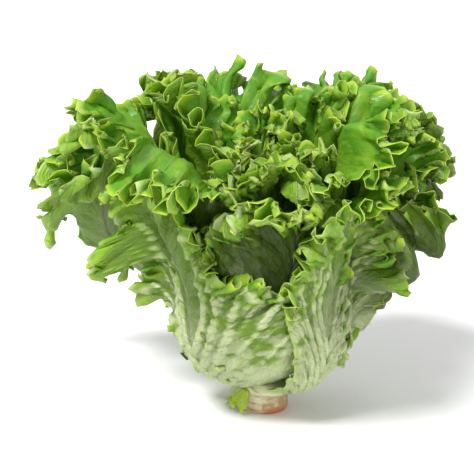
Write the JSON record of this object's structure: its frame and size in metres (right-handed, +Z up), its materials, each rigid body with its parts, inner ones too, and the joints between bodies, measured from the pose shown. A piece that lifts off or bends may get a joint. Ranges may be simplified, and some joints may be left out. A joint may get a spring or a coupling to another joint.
{
  "type": "green leaf lettuce",
  "caption": "Head of green leaf lettuce standing on its cut stem, with pale cupped leaf feet, nested blades and deeply waved green edges.",
  "frame": {"origin": "middle of the flat cut at the foot of the stem", "axes": "+Z up along the stem, -Y towards the front that the picture shows, +X to its right"},
  "size_m": [0.3027, 0.2513, 0.2347],
  "materials": {
    "cut_stem": "matt, moist, browned on the cut",
    "outer_leaf": "satin, pale at the foot and green at the edge",
    "inner_leaf": "satin, bright green"
  },
  "bodies": {
    "root": {"stem": "cut_stem", "torn_leaf_base": "outer_leaf", "leaf_01": "outer_leaf", "leaf_02": "outer_leaf", "leaf_03": "outer_leaf", "leaf_04": "outer_leaf", "leaf_05": "outer_leaf", "leaf_06": "outer_leaf", "leaf_07": "outer_leaf", "leaf_08": "outer_leaf", "leaf_09": "outer_leaf", "leaf_10": "inner_leaf", "leaf_11": "inner_leaf", "leaf_12": "inner_leaf", "leaf_13": "inner_leaf", "leaf_14": "inner_leaf", "leaf_15": "inner_leaf", "leaf_16": "inner_leaf", "leaf_17": "inner_leaf", "leaf_18": "inner_leaf"}
  },
  "joints": []
}
